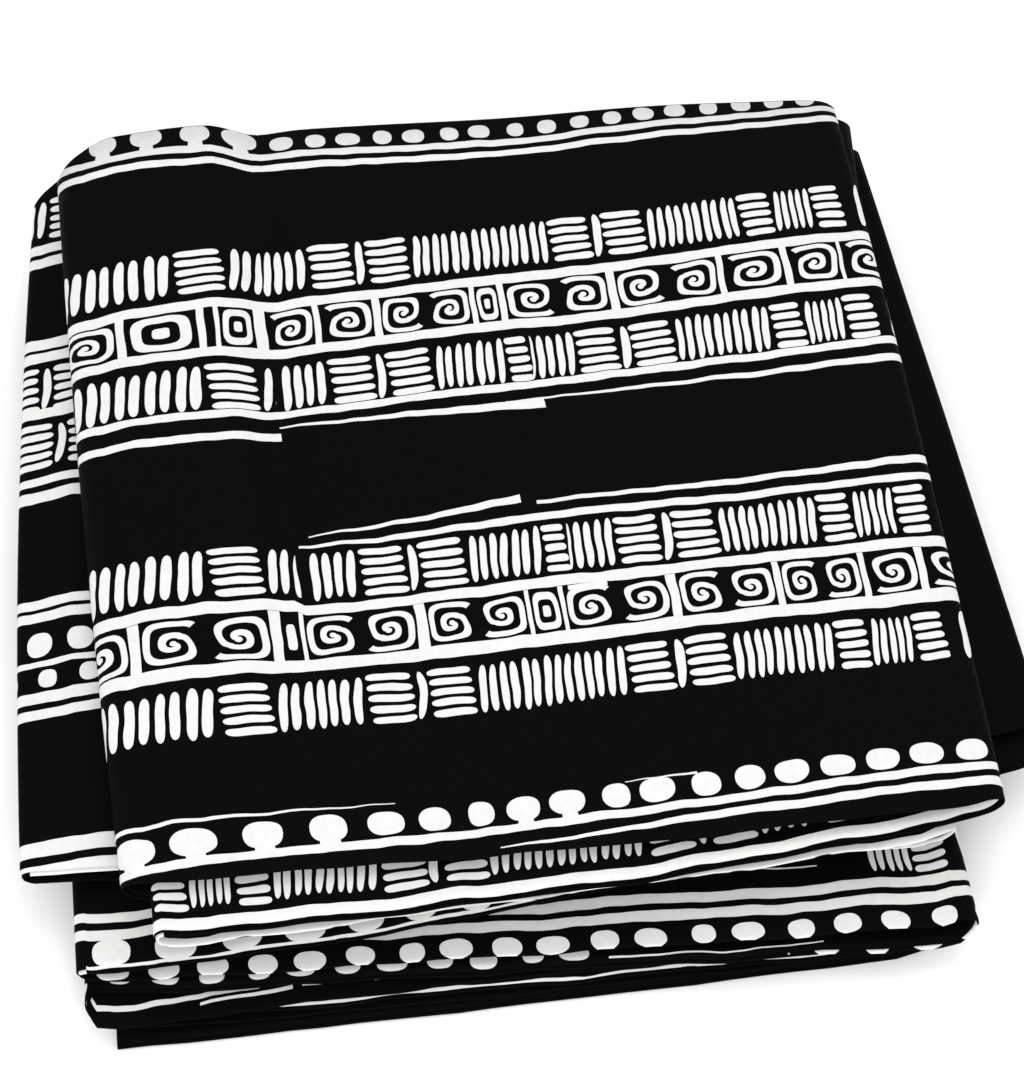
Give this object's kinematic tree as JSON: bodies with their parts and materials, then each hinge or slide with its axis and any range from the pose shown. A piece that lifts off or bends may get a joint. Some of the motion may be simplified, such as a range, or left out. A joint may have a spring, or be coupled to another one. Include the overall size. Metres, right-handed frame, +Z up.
{
  "type": "folded wax print fabric",
  "caption": "Folded cut length of cotton wax print cloth, laid back and forth into a flat packet with uneven layers.",
  "frame": {"origin": "bottom centre of the packet's bounding box, on the surface it rests on", "axes": "+Z up, +Y to the packet's back, +X to its right as seen from the front, the bands of the print running along X"},
  "size_m": [0.4604, 0.4498, 0.0768],
  "materials": {
    "printed_cotton": "matt printed cotton"
  },
  "bodies": {
    "root": {"folded_cloth": "printed_cotton"}
  },
  "joints": []
}
